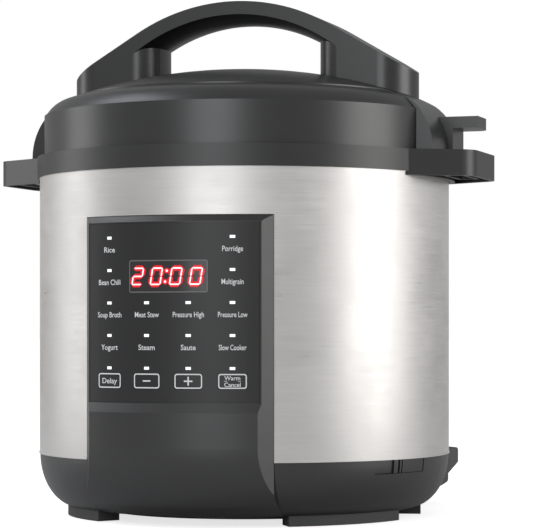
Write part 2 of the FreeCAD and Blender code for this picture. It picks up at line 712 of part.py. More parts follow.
def lid_skirt():
    body = ring(SKIRT_R, SKIRT_R - 3, (LID_BOTTOM, SKIRT_TOP)).common(skirt_region())
    return body.fuse(ring(SKIRT_R - 2, DISH_R + 0.2, (LID_BOTTOM, LID_BOTTOM + 2)).cut(dish_region(0)))


def dish_region(inset):
    """The steel dish under the lid as a full solid, drawn in by inset."""
    side = DISH_R - inset
    return turned([(0, TAB_Z[0]), (side, TAB_Z[0]), (side, 237 - inset, 5 - inset), (104, 237 - inset, 40),
                   (60, DISH_TOP - inset, 200), (0, DISH_TOP - inset)])


def inner_lid():
    body = dish_region(0).cut(dish_region(DISH_WALL))
    pitch = 360 / TOOTH_COUNT
    tab = sector(TAB_R, DISH_R - 1, (-TOOTH_ANGLE / 2, TOOTH_ANGLE / 2), TAB_Z)
    body = fused([body] + [spun(tab, i * pitch) for i in range(TOOTH_COUNT)])
    holes = [rod(1.7, (200, 262), *polar(75, a)) for a in (30, 150, 270)]
    holes += [rod(FLOAT_BORE, (200, 300), *FLOAT_XY), rod(5.4, (200, 300), *VALVE_XY)]
    return body.cut(fused(holes))


def ring_rack():
    wire_ring = Part.makeTorus(105.6, 1.2, V(0, 0, 228))
    legs = [rod(1.0, (228, 240), *polar(105.6, a)) for a in range(0, 360, 60)]
    return fused([wire_ring] + legs).cut(rod(200, (236.5, 300)).fuse(dish_shell()))


def dish_shell():
    return dish_region(0).cut(dish_region(DISH_WALL))


def vent_pipe():
    x, y = VALVE_XY
    pipe = rod(5.4, (234, VALVE_SEAT), x, y).fuse(rod(8, (231, 236), x, y))
    pipe = pipe.fuse(rod(3.2, (VALVE_SEAT, VALVE_SEAT + 3.5), x, y))
    return pipe.cut(rod(1.5, (225, 310), x, y))


def vent_nut():
    x, y = VALVE_XY
    nut = plate([(x + 9 * math.cos(math.radians(a)), y + 9 * math.sin(math.radians(a)))
                 for a in range(0, 360, 60)], (246, 251))
    return nut.cut(rod(5.4, (200, 300), x, y))


def anti_block_shield():
    x, y = VALVE_XY
    cap = rod(12, (219, 231), x, y).cut(rod(11.2, (219.8, 229.4), x, y))
    slot = box((x - 13, x + 13), (y - 1, y + 1), (222, 227))
    slots = [spun(slot, a, x, y) for a in (0, 60, 120)]
    return cap.cut(fused(slots)).cut(rod(8.2, (225, 240), x, y))


def lid_screws():
    screws = []
    for angle in (30, 150, 270):
        x, y = polar(75, angle)
        head = rod(3.4, (238.4, 250), x, y).common(dish_region(DISH_WALL))
        screws.append(head.fuse(rod(1.7, (239, 258), x, y)))
    return group(screws)


def oval_slot(x, half_y, ends, z):
    """An upright solid, straight between two X limits, with half-elliptic ends."""
    shapes = [box(x, (-half_y, half_y), z)]
    for limit, reach, side in ((x[0], ends[0], -1), (x[1], ends[1], 1)):
        if reach > 0:
            end = rod(1, z)
            matrix = FreeCAD.Matrix()
            matrix.scale(V(reach, half_y, 1))
            end = end.transformGeometry(matrix)
            end.translate(V(limit, 0, 0))
            shapes.append(end.common(box(sorted((limit, limit + side * FAR)), (-FAR, FAR), z)))
    return shapes[0].fuse(shapes[1:])


def grip_window(grow):
    """The finger space under the grip, widened by grow on every side."""
    inner_end, flat_start, _ = PILLAR
    axis_z = ARCH_TOP - ARCH_R
    half = GRIP_HALF + 1
    low = V(0, -half, axis_z)
    top = V(0, half, axis_z)
    rise = ARCH_DROP * (half / GRIP_HALF) ** 2
    edge = ARCH_R + grow + rise
    arch = Part.Arc(V(0, -half, axis_z + edge), V(0, 0, axis_z + ARCH_R + grow),
                    V(0, half, axis_z + edge)).toShape()
    sides = [Part.LineSegment(low, V(0, -half, axis_z + edge)).toShape(),
             Part.LineSegment(V(0, half, axis_z + edge), top).toShape(),
             Part.LineSegment(top, low).toShape()]
    face = Part.Face(Part.Wire(Part.__sortEdges__([arch] + sides)))
    drum = face.revolve(V(0, 0, axis_z), V(0, 1, 0), 360)
    reach = flat_start - inner_end - grow
    span = box((-flat_start, flat_start), (-half, half), (230, 330))
    for side in (-1, 1):
        pillar_end = oval_slot((0, 0.01), GRIP_HALF, (reach, 0), (230, 330))
        pillar_end.translate(V(flat_start, 0, 0))
        span = span.cut(pillar_end if side > 0 else mirrored(pillar_end))
    return drum.common(span)


def grip_profile(inset):
    """The grip seen from the front, as a solid block."""
    slope = GRIP_ARC_END / math.sqrt(GRIP_ARC ** 2 - GRIP_ARC_END ** 2)
    axis_z = GRIP_TOP - GRIP_ARC
    radius = GRIP_ARC - inset
    knee = V(GRIP_ARC_END * radius / GRIP_ARC, 0, 0)
    knee.z = axis_z + math.sqrt(radius ** 2 - knee.x ** 2)
    end_x = GRIP_END - inset
    end_z = knee.z - slope * (end_x - knee.x)
    left, right = V(-knee.x, 0, knee.z), V(knee.x, 0, knee.z)
    low = 265
    corners = [right, V(end_x, 0, end_z), V(end_x, 0, low), V(-end_x, 0, low), V(-end_x, 0, end_z), left]
    edges = [Part.Arc(left, V(0, 0, axis_z + radius), right).toShape()]
    edges += [Part.LineSegment(a, b).toShape() for a, b in zip(corners, corners[1:])]
    half = GRIP_HALF - inset
    block = Part.Face(Part.Wire(edges)).extrude(V(0, 2 * half, 0))
    block.translate(V(0, -half, 0))
    return block


def grip_block(inset):
    flat_end = PILLAR[2]
    reach = GRIP_END - flat_end - inset
    plan = oval_slot((-flat_end, flat_end), GRIP_HALF - inset, (reach, reach), (245, 345))
    return grip_profile(inset).common(plan)


def pillar_hollow():
    """The space inside one pillar of the handle, open at the bottom."""
    inner_end, flat_start, flat_end = PILLAR
    room = oval_slot((flat_start, flat_end), GRIP_HALF - 3, (flat_start - inner_end - 5, 17), (245, 345))
    return room.common(grip_profile(3.2)).cut(box((-FAR, FAR), (-FAR, FAR), (304, 400)))


def lid_handle():
    body = grip_block(0).cut(grip_window(0))
    channel = grip_window(1.6).common(box((-80, 80), (-11, 11), (200, 340)))
    body = body.cut(channel)
    room = pillar_hollow()
    body = body.cut(room).cut(mirrored(room))
    bosses = [rod(5, (270, 300), x, 0) for x in (-84, 84)]
    body = fused([body] + bosses).cut(fused(rod(1.8, (260, 295), x, 0) for x in (-84, 84)))
    return largest(body.cut(ear_band(0)))


def grip_insert():
    strip = grip_window(1.6).cut(grip_window(0))
    strip = strip.common(box((-80, 80), (-10.6, 10.6), (200, 340)))
    return largest(strip.cut(ball(DOME_R)))


def handle_screws():
    screws = []
    for x in (-84, 84):
        top = dome_z(x, 0, DOME_R - 2.8)
        screws.append(rod(1.8, (top - 2, 294), x, 0).fuse(rod(4, (top - 4, top - 1), x, 0)))
    return group(screws)


def lid_fin():
    fin = plate([(125, 6), (156.4, 6), (156.4, EAR_HALF, 7), (125, EAR_HALF)], (250.3, 257.7))
    post = box((125, 140.2), (5, 33), (LID_BOTTOM + 0.4, 250.3))
    return largest(fused([fin, post]).cut(ear_band(0)))


def radial(shape):
    """A shape built along +Y at the float's side, turned to the lid lock's place."""
    return spun(shape, math.degrees(math.atan2(FLOAT_XY[1], FLOAT_XY[0])) - 90)


def lock_pin():
    pin = bar(2.4, (0, 97, 252), (0, 119, 252))
    collar = bar(4.2, (0, 106, 252), (0, 108, 252))
    return radial(pin.fuse(collar))


def lock_spring():
    spring = coil(3.4, 0.4, (0, 4.8), 3)
    spring.rotate(ORIGIN, V(1, 0, 0), -90)
    spring.translate(V(0, 101.1, 252))
    return radial(spring)


def lock_bracket():
    ends = [box((-6, 6), y, (240, 258)).cut(bar(2.46, (0, 90, 252), (0, 130, 252)))
            for y in ((98, 101), (116, 118.4))]
    foot = box((-6, 6), (98, 118.4), (238.6, 242))
    body = fused(ends + [foot])
    return radial(body).cut(dish_region(0))


def steam_knob():
    x, y = VALVE_XY
    base = VALVE_SEAT + 0.5
    body = rod(15, (base, base + 7), x, y).fuse(rod(9, (base + 7, base + 11.5), x, y))
    lever = plate([(x - 6, y + 6), (x + 6, y + 6), (x + 5, y + 30, 4), (x - 5, y + 30, 4)],
                  (base + 0.2, base + 5.5))
    body = fused([body, lever]).cut(rod(3.28, (270, VALVE_SEAT + 4), x, y))
    port = bar(1.2, (x, y, base + 9.5), (x + 14, y, base + 9.5))
    return body.cut(fused(spun(port, a, x, y) for a in range(0, 360, 60)))


def float_valve():
    x, y = FLOAT_XY
    top = dome_z(x, y) - 1.2
    return rod(FLOAT_R, (231, top), x, y).fuse(rod(6.5, (229, 230.6), x, y)).fuse(rod(3, (229, 232), x, y))


def float_gasket():
    x, y = FLOAT_XY
    return rod(6.2, (230.6, 232), x, y).cut(rod(FLOAT_R, (200, 300), x, y))


NODES = {
    "base_shell": base_shell, "bottom_cover": bottom_cover, "rubber_feet": rubber_feet,
    "base_screws": base_screws, "steel_shell": steel_shell, "rim_ring": rim_ring,
    "slot_sleeves": slot_sleeves, "fascia": fascia, "control_panel": control_panel,
    "display_window": display_window, "display_module": display_module,
    "indicator_lenses": indicator_lenses, "control_board": control_board,
    "tact_switches": tact_switches, "vent_insert": vent_insert, "inlet_housing": inlet_housing,
    "power_inlet": power_inlet, "inlet_pins": inlet_pins, "outer_pot": outer_pot,
    "bayonet_ring": bayonet_ring, "heating_plate": heating_plate, "heating_tube": heating_tube,
    "elastic_plate": elastic_plate, "pressure_switch": pressure_switch,
    "thermal_fuse": thermal_fuse, "power_board": power_board,
    "transformer": transformer, "relay": relay, "capacitors": capacitors, "tie_rods": tie_rods,
    "ribbon_cable": ribbon_cable, "heater_leads": heater_leads, "sensor_spring": sensor_spring,
    "thermal_sensor": thermal_sensor, "cup_bracket": cup_bracket,
    "condensation_cup": condensation_cup, "inner_pot": inner_pot, "sealing_ring": sealing_ring,
    "lid_cover": lid_cover, "lid_skirt": lid_skirt, "inner_lid": inner_lid,
    "ring_rack": ring_rack, "vent_pipe": vent_pipe, "vent_nut": vent_nut,
    "anti_block_shield": anti_block_shield, "lid_screws": lid_screws, "lid_handle": lid_handle,
    "grip_insert": grip_insert, "handle_screws": handle_screws, "lid_fin": lid_fin,
    "lock_pin": lock_pin, "lock_spring": lock_spring, "lock_bracket": lock_bracket,
    "steam_knob": steam_knob, "float_valve": float_valve, "float_gasket": float_gasket,
}

os.makedirs("parts", exist_ok=True)
for name, make in NODES.items():
    make().exportStep(f"parts/{name}.step")
for name, angle in zip(KEY_NAMES, KEY_ANGLES):
    key(angle).exportStep(f"parts/{name}.step")
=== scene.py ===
import json
import math

import bpy
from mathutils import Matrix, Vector


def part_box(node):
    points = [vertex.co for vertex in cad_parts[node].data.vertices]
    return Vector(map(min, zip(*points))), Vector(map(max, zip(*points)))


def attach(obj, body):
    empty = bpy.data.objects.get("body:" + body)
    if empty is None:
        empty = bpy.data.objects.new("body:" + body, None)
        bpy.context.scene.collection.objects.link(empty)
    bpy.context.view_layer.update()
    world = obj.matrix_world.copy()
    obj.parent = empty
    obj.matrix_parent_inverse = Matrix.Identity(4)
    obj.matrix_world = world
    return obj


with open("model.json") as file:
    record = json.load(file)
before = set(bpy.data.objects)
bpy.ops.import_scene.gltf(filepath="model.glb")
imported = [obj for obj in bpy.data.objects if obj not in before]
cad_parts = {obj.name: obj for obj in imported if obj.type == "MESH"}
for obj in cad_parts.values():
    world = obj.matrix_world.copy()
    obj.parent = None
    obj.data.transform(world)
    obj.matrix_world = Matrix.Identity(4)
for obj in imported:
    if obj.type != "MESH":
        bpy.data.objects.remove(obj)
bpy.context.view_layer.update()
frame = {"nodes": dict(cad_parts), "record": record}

PRINT_LIFT = 0.00006
KEY_TILT = {"key_delay": -16.5, "key_minus": -5.5, "key_plus": 5.5, "key_cancel": 16.5}
KEY_LOW, KEY_HIGH = (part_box("key_minus")[i][2] for i in (0, 1))
KEY_MIDDLE = (KEY_LOW + KEY_HIGH) / 2
KEY_HALF = (0.00875, (KEY_HIGH - KEY_LOW) / 2)
SCREEN_LOW, SCREEN_HIGH = (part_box("display_window")[i][2] for i in (0, 1))
SCREEN_HALF_WIDE = 0.0255
SCREEN_MIDDLE = (SCREEN_LOW + SCREEN_HIGH) / 2
SCREEN_CORNER, SCREEN_LINE = 0.0012, 0.0007
PANEL_R = -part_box("control_panel")[0][1]

BLACK = (0.0072, 0.0073, 0.0076)
LID_BLACK = (0.0068, 0.0072, 0.0080)
PRINT_WHITE = (0.86, 0.87, 0.88)
LIT_WHITE = (1.0, 0.94, 0.93)
LIT_RED = (0.95, 0.01, 0.03)


# --- shader groups ----------------------------------------------------------------------
def group_tree(name, inputs, outputs):
    """An empty shader group with sockets from {name: (kind, default)}."""
    tree = bpy.data.node_groups.new(name, "ShaderNodeTree")
    for label, (kind, value) in inputs.items():
        socket = tree.interface.new_socket(name=label, in_out="INPUT", socket_type=kind)
        socket.default_value = value
    for label, kind in outputs.items():
        tree.interface.new_socket(name=label, in_out="OUTPUT", socket_type=kind)
    return tree, tree.nodes.new("NodeGroupInput"), tree.nodes.new("NodeGroupOutput")


def noise(tree, vector, scale, detail=3.0, rough=0.5):
    """A noise texture read at a vector; gives its value socket."""
    node = tree.nodes.new("ShaderNodeTexNoise")
    node.inputs["Detail"].default_value = detail
    node.inputs["Roughness"].default_value = rough
    tree.links.new(vector, node.inputs["Vector"])
    if isinstance(scale, (int, float)):
        node.inputs["Scale"].default_value = scale
    else:
        tree.links.new(scale, node.inputs["Scale"])
    return node.outputs["Fac"]


def reading(tree, value, low, high):
    """The value's 0.3 to 0.7 stretched onto low to high."""
    node = tree.nodes.new("ShaderNodeMapRange")
    node.inputs["From Min"].default_value = 0.3
    node.inputs["From Max"].default_value = 0.7
    for label, end in (("To Min", low), ("To Max", high)):
        if isinstance(end, (int, float)):
            node.inputs[label].default_value = end
        else:
            tree.links.new(end, node.inputs[label])
    tree.links.new(value, node.inputs["Value"])
    return node.outputs["Result"]


def math_node(tree, operation, first, second=None):
    """One arithmetic step; each input is a socket or a number."""
    node = tree.nodes.new("ShaderNodeMath")
    node.operation = operation
    for slot, value in enumerate((first, second)):
        if value is None:
            continue
        if isinstance(value, (int, float)):
            node.inputs[slot].default_value = value
        else:
            tree.links.new(value, node.inputs[slot])
    return node.outputs[0]


def shaded(tree, colour, factor):
    """The colour multiplied by a grey factor."""
    node = tree.nodes.new("ShaderNodeVectorMath")
    node.operation = "SCALE"
    tree.links.new(colour, node.inputs[0])
    tree.links.new(factor, node.inputs["Scale"])
    return node.outputs[0]


def bump(tree, height, strength, distance):
    """A normal bumped by a height; strength is a socket or a number."""
    node = tree.nodes.new("ShaderNodeBump")
    node.inputs["Distance"].default_value = distance
    if isinstance(strength, (int, float)):
        node.inputs["Strength"].default_value = strength
    else:
        tree.links.new(strength, node.inputs["Strength"])
    tree.links.new(height, node.inputs["Height"])
    return node.outputs["Normal"]


def moulded_grain():
    """Spark-eroded mould texture: a fine pebble, with slow changes of tone and sheen."""
    tree, given, result = group_tree(
        "moulded_grain",
        {"Tint": ("NodeSocketColor", (0.04, 0.04, 0.04, 1)), "Sheen": ("NodeSocketFloat", 0.35),
         "Grain": ("NodeSocketFloat", 1800.0), "Relief": ("NodeSocketFloat", 0.2)},
        {"Color": "NodeSocketColor", "Roughness": "NodeSocketFloat", "Normal": "NodeSocketVector"})
    place = tree.nodes.new("ShaderNodeTexCoord").outputs["Object"]
    slow = noise(tree, place, 22.0, 4.0)
    pebble = noise(tree, place, given.outputs["Grain"], 2.0)
    tone = reading(tree, slow, 0.95, 1.05)
    speck = reading(tree, pebble, 0.94, 1.06)
    tree.links.new(shaded(tree, given.outputs["Tint"], math_node(tree, "MULTIPLY", tone, speck)),
                   result.inputs["Color"])
    spread = reading(tree, noise(tree, place, 60.0, 5.0, 0.6), -0.012, 0.012)
    tree.links.new(math_node(tree, "ADD", given.outputs["Sheen"], spread), result.inputs["Roughness"])
    tree.links.new(bump(tree, pebble, given.outputs["Relief"], 0.00006), result.inputs["Normal"])
    return tree


def turned_lines():
    """Lines left by a belt or a tool that ran round the Z axis."""
    tree, given, result = group_tree(
        "turned_lines",
        {"Tint": ("NodeSocketColor", (0.7, 0.7, 0.7, 1)), "Sheen": ("NodeSocketFloat", 0.3),
         "Lines": ("NodeSocketFloat", 2400.0), "Contrast": ("NodeSocketFloat", 0.08),
         "Relief": ("NodeSocketFloat", 0.2)},
        {"Color": "NodeSocketColor", "Roughness": "NodeSocketFloat", "Normal": "NodeSocketVector"})
    place = tree.nodes.new("ShaderNodeTexCoord").outputs["Object"]
    apart = tree.nodes.new("ShaderNodeSeparateXYZ")
    tree.links.new(place, apart.inputs[0])
    x, y, z = (apart.outputs[i] for i in range(3))
    bearing = math_node(tree, "ARCTAN2", y, x)
    radius = math_node(tree, "SQRT", math_node(
        tree, "ADD", math_node(tree, "MULTIPLY", x, x), math_node(tree, "MULTIPLY", y, y)))
    together = tree.nodes.new("ShaderNodeCombineXYZ")
    tree.links.new(math_node(tree, "MULTIPLY", bearing, 5.0), together.inputs[0])
    tree.links.new(math_node(tree, "MULTIPLY", radius, given.outputs["Lines"]), together.inputs[1])
    tree.links.new(math_node(tree, "MULTIPLY", z, given.outputs["Lines"]), together.inputs[2])
    streak = noise(tree, together.outputs[0], 1.0, 4.0, 0.65)
    low = math_node(tree, "SUBTRACT", 1.0, given.outputs["Contrast"])
    high = math_node(tree, "ADD", 1.0, given.outputs["Contrast"])
    tree.links.new(shaded(tree, given.outputs["Tint"], reading(tree, streak, low, high)),
                   result.inputs["Color"])
    smudge = reading(tree, noise(tree, place, 30.0, 4.0, 0.6), -0.03, 0.03)
    grind = math_node(tree, "ADD", smudge, reading(tree, streak, -0.05, 0.05))
    tree.links.new(math_node(tree, "ADD", given.outputs["Sheen"], grind), result.inputs["Roughness"])
    tree.links.new(bump(tree, streak, given.outputs["Relief"], 0.00004), result.inputs["Normal"])
    return tree


GRAIN = moulded_grain()
LINES = turned_lines()


# --- materials --------------------------------------------------------------------------
def bare_material(name):
    """A new material and its shader."""
    material = bpy.data.materials.new(name)
    material.use_nodes = True
    return material, material.node_tree.nodes["Principled BSDF"]


def set_values(shader, **values):
    """Sets the shader's own sockets, named with underscores for spaces."""
    for label, value in values.items():
        shader.inputs[label.replace("_", " ")].default_value = value


def finish_from(name, group, tint, values, **shader_values):
    """A material whose colour, roughness and normal come from one of the groups."""
    material, shader = bare_material(name)
    tree = material.node_tree
    skin = tree.nodes.new("ShaderNodeGroup")
    skin.node_tree = group
    skin.inputs["Tint"].default_value = (*tint, 1)
    for label, value in values.items():
        skin.inputs[label].default_value = value
    for output, target in (("Color", "Base Color"), ("Roughness", "Roughness"), ("Normal", "Normal")):
        tree.links.new(skin.outputs[output], shader.inputs[target])
    set_values(shader, **shader_values)
    return material


def moulded(name, tint, sheen, grain=1800.0, relief=0.2, **values):
    """A moulded plastic, rubber or paint with the fine grain."""
    return finish_from(name, GRAIN, tint, {"Sheen": sheen, "Grain": grain, "Relief": relief}, **values)


def metal(name, tint, sheen, lines=2400.0, contrast=0.08, relief=0.2, **values):
    """A bare metal with the turned lines."""
    return finish_from(name, LINES, tint,
                       {"Sheen": sheen, "Lines": lines, "Contrast": contrast, "Relief": relief},
                       Metallic=1.0, **values)


def lit(name, tint, strength):
    """Something that shines by itself, a little uneven as small lamps are."""
    material, shader = bare_material(name)
    tree = material.node_tree
    place = tree.nodes.new("ShaderNodeTexCoord").outputs["Object"]
    colour = tree.nodes.new("ShaderNodeRGB")
    colour.outputs[0].default_value = (*tint, 1)
    uneven = reading(tree, noise(tree, place, 900.0, 2.0), 0.94, 1.0)
    tree.links.new(shaded(tree, colour.outputs[0], uneven), shader.inputs["Emission Color"])
    set_values(shader, Emission_Strength=strength, Base_Color=(*tint, 1), Roughness=0.4)
    return material


def see_through(name, tint, sheen, transmission):
    """Clear moulded plastic with faint flow marks."""
    material = moulded(name, tint, sheen, 90.0, 0.04, IOR=1.49)
    set_values(material.node_tree.nodes["Principled BSDF"], Transmission_Weight=transmission)
    return material


FINISHES = {
    "housing_black": moulded("housing_black", BLACK, 0.40, 2600.0, 0.10, IOR=1.75),
    "lid_black": moulded("lid_black", LID_BLACK, 0.34, 2600.0, 0.07, IOR=1.8),
    "panel_black": moulded("panel_black", (0.0065, 0.0065, 0.0069), 0.42, 3400.0, 0.05, IOR=1.6),
    "key_black": moulded("key_black", (0.0065, 0.0065, 0.0069), 0.42, 3400.0, 0.05, IOR=1.6),
    "window_tint": moulded("window_tint", (0.040, 0.036, 0.037), 0.22, 3400.0, 0.02),
    "lamp_white": lit("lamp_white", (0.93, 0.96, 1.0), 0.65),
    "shell_steel": metal("shell_steel", (0.68, 0.665, 0.65), 0.34, 2600.0, 0.05, 0.12, Anisotropic=0.8),
    "pot_steel": metal("pot_steel", (0.70, 0.70, 0.69), 0.26, 1800.0, 0.05, 0.15),
    "dish_steel": metal("dish_steel", (0.66, 0.66, 0.66), 0.22, 900.0, 0.04, 0.08),
    "liner_steel": metal("liner_steel", (0.52, 0.52, 0.52), 0.38, 700.0, 0.08, 0.15),
    "zinc_steel": metal("zinc_steel", (0.52, 0.54, 0.56), 0.42, 300.0, 0.14, 0.10),
    "cast_alloy": metal("cast_alloy", (0.58, 0.58, 0.59), 0.40, 1500.0, 0.10, 0.45),
    "sensor_alloy": metal("sensor_alloy", (0.66, 0.67, 0.68), 0.30, 2200.0, 0.08, 0.30),
    "tube_metal": metal("tube_metal", (0.34, 0.33, 0.32), 0.55, 500.0, 0.18, 0.2),
    "screw_steel": metal("screw_steel", (0.58, 0.58, 0.60), 0.25, 1500.0, 0.06, 0.1),
    "foot_rubber": moulded("foot_rubber", (0.07, 0.068, 0.068), 0.72, 900.0, 0.5),
    "seal_silicone": moulded("seal_silicone", (0.72, 0.73, 0.73), 0.5, 700.0, 0.12,
                             Subsurface_Weight=0.3, Subsurface_Scale=0.004),
    "gasket_silicone": moulded("gasket_silicone", (0.60, 0.13, 0.08), 0.55, 900.0, 0.15),
    "board_green": moulded("board_green", (0.03, 0.20, 0.09), 0.35, 500.0, 0.2),
    "part_black": moulded("part_black", (0.03, 0.03, 0.033), 0.45, 1200.0, 0.3),
    "copper": metal("copper", (0.72, 0.40, 0.22), 0.35, 3200.0, 0.22, 0.6),
    "cable_grey": moulded("cable_grey", (0.38, 0.38, 0.40), 0.5, 1500.0, 0.3),
    "lead_white": moulded("lead_white", (0.72, 0.70, 0.64), 0.6, 2500.0, 0.5),
    "cup_clear": see_through("cup_clear", (0.80, 0.84, 0.86), 0.12, 0.85),
    "pin_brass": metal("pin_brass", (0.75, 0.58, 0.28), 0.30, 1200.0, 0.08, 0.1),
    "white_ink": moulded("white_ink", PRINT_WHITE, 0.5, 4000.0, 0.1),
    "grey_ink": moulded("grey_ink", (0.17, 0.175, 0.18), 0.45, 4000.0, 0.1),
}


def dress_nodes():
    """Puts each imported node's finish on it."""
    slot_of = {part["node"]: part["material_slot"] for part in frame["record"]["subparts"]}
    for name, piece in frame["nodes"].items():
        finish = FINISHES[slot_of[name]]
        if not piece.material_slots:
            piece.data.materials.append(finish)
        for place in piece.material_slots:
            place.material = finish


# --- printing on the curved panel -------------------------------------------------------
def wrapped(points, tilt, height, lift):
    """Flat points (u, v) laid on the panel round an angle from its middle."""
    radius = PANEL_R + lift
    placed = []
    for u, v in points:
        turn = math.radians(tilt) + u / PANEL_R
        placed.append((radius * math.sin(turn), -radius * math.cos(turn), height + v))
    return placed


class Sheet:
    """Flat shapes gathered into one mesh on the panel."""

    def __init__(self, name, finish, body, lift=PRINT_LIFT):
        self.name, self.finish, self.body, self.lift = name, finish, body, lift
        self.points, self.faces = [], []

    def add(self, points, faces, tilt, height):
        first = len(self.points)
        self.points += wrapped(points, tilt, height, self.lift)
        self.faces += [[first + i for i in face] for face in faces]

    def make(self):
        mesh = bpy.data.meshes.new(self.name)
        mesh.from_pydata(self.points, [], self.faces)
        mesh.materials.append(self.finish)
        piece = bpy.data.objects.new(self.name, mesh)
        bpy.context.collection.objects.link(piece)
        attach(piece, self.body)
        return piece


def rounded_loop(half_wide, half_high, corner, steps=6, run=10):
    """Points round a rectangle with round corners, with extra points on the long sides."""
    points = []
    for sx, sy, start in ((1, 1, 0), (-1, 1, 90), (-1, -1, 180), (1, -1, 270)):
        centre = (sx * (half_wide - corner), sy * (half_high - corner))
        for i in range(steps + 1):
            turn = math.radians(start + 90 * i / steps)
            points.append((centre[0] + corner * math.cos(turn), centre[1] + corner * math.sin(turn)))
        if start in (0, 180):
            for i in range(1, run):
                points.append((centre[0] - sx * 2 * (half_wide - corner) * i / run, sy * half_high))
    return points


def add_frame(sheet, half_wide, half_high, corner, line, tilt, height):
    """The outline of a rounded rectangle, drawn as a thin closed band."""
    outer = rounded_loop(half_wide, half_high, corner)
    inner = rounded_loop(half_wide - line, half_high - line, corner - line * 0.8)
    count = len(outer)
    faces = [(i, (i + 1) % count, count + (i + 1) % count, count + i) for i in range(count)]
    sheet.add(outer + inner, faces, tilt, height)


def add_block(sheet, u, v, half_wide, half_high, tilt, height):
    """A small filled rectangle."""
    points = [(u - half_wide, v - half_high), (u + half_wide, v - half_high),
              (u + half_wide, v + half_high), (u - half_wide, v + half_high)]
    sheet.add(points, [(0, 1, 2, 3)], tilt, height)


def add_words(sheet, words, size, tilt, height, width=1.0):
    """A line of lettering, centred on its column, with its letters widened by width."""
    curve = bpy.data.curves.new("letters", "FONT")
    curve.body = words
    curve.size = size
    curve.align_x = "CENTER"
    curve.resolution_u = 3
    curve.offset = size * 0.010
    holder = bpy.data.objects.new("letters", curve)
    mesh = bpy.data.meshes.new_from_object(holder)
    points = [(v.co.x * width, v.co.y) for v in mesh.vertices]
    faces = [tuple(p.vertices) for p in mesh.polygons]
    sheet.add(points, faces, tilt, height)
    bpy.data.objects.remove(holder)
    bpy.data.curves.remove(curve)
    bpy.data.meshes.remove(mesh)


COLUMNS = tuple(KEY_TILT.values())
LABELS = (      # height of each row, then each column's words and how wide their letters are set
    (0.1694, (("Rice", 1.10), None, None, ("Porridge", 0.80))),
    (0.1496, (("Bean Chili", 0.92), None, None, ("Multigrain", 0.74))),
    (0.1298, (("Soup Broth", 0.885), ("Meat Stew", 0.84), ("Pressure High", 0.76), ("Pressure Low", 0.70))),
    (0.1100, (("Yogurt", 0.99), ("Steam", 1.01), ("Saute", 0.94), ("Slow Cooker", 0.675))),
)
LETTER = 0.0046
BASELINE = -0.36          # where letters stand under their middle, in letter sizes
SMALL_LETTER = LETTER * 0.8
DELAY_WIDTH = 1.1
WARM_RISE, CANCEL_DROP = 0.0007, 0.0033
RULE_HALF = (0.0052, 0.00012)    # the line between the two words of the last key
KEY_INSET, KEY_CORNER, KEY_LINE = 0.0001, 0.0016, 0.00075
SIGN_HALF = 0.00045       # half the thickness of the minus and plus signs
KEY_SIGNS = {"key_minus": [(0.0026, SIGN_HALF)],
             "key_plus": [(0.0027, SIGN_HALF), (SIGN_HALF, 0.0027)]}


def print_panel():
    """The programme names and the screen's outline on the overlay."""
    names = Sheet("panel_printing", FINISHES["white_ink"], "base")
    for height, words in LABELS:
        for tilt, label in zip(COLUMNS, words):
            if label:
                words_here, width = label
                add_words(names, words_here, LETTER, tilt, height + LETTER * BASELINE, width)
    names.make()
    outline = Sheet("screen_outline", FINISHES["grey_ink"], "base")
    add_frame(outline, SCREEN_HALF_WIDE, (SCREEN_HIGH - SCREEN_LOW) / 2, SCREEN_CORNER, SCREEN_LINE,
              0, SCREEN_MIDDLE)
    outline.make()


def print_keys():
    """The frame and the sign on each key; they move with it."""
    for key, tilt in KEY_TILT.items():
        sheet = Sheet(key + "_printing", FINISHES["white_ink"], key)
        add_frame(sheet, KEY_HALF[0] - KEY_INSET, KEY_HALF[1] - KEY_INSET, KEY_CORNER, KEY_LINE,
                  tilt, KEY_MIDDLE)
        for half_wide, half_high in KEY_SIGNS.get(key, ()):
            add_block(sheet, 0, 0, half_wide, half_high, tilt, KEY_MIDDLE)
        if key == "key_delay":
            add_words(sheet, "Delay", LETTER, tilt, KEY_MIDDLE + LETTER * BASELINE, DELAY_WIDTH)
        if key == "key_cancel":
            add_words(sheet, "Warm", SMALL_LETTER, tilt, KEY_MIDDLE + WARM_RISE)
            add_block(sheet, 0, 0, *RULE_HALF, tilt, KEY_MIDDLE)
            add_words(sheet, "Cancel", SMALL_LETTER, tilt, KEY_MIDDLE - CANCEL_DROP)
        sheet.make()


# --- the display ------------------------------------------------------------------------
DIGIT_HALF = (0.0032, 0.0049)
DIGIT_PITCH = 0.0126
DIGIT_LINE = 0.00038
DIGIT_LEAN = 0.17
DIGIT_SHIFT = -0.0006     # the row of digits sits a little left of the screen's middle
COLON_HALF = 0.0033
SEGMENT_GAP = 0.0001
DOT_CORNERS = 16
SEGMENTS = {"2": "abged", "0": "abcdef"}


def segment_spots(half_wide, half_high):
    """Middle, half length and direction of each of the seven segments."""
    level = half_wide - SEGMENT_GAP
    upright = half_high / 2 - SEGMENT_GAP
    return {"a": ((0, half_high), level, 0), "g": ((0, 0), level, 0), "d": ((0, -half_high), level, 0),
            "b": ((half_wide, half_high / 2), upright, 1), "c": ((half_wide, -half_high / 2), upright, 1),
            "f": ((-half_wide, half_high / 2), upright, 1), "e": ((-half_wide, -half_high / 2), upright, 1)}


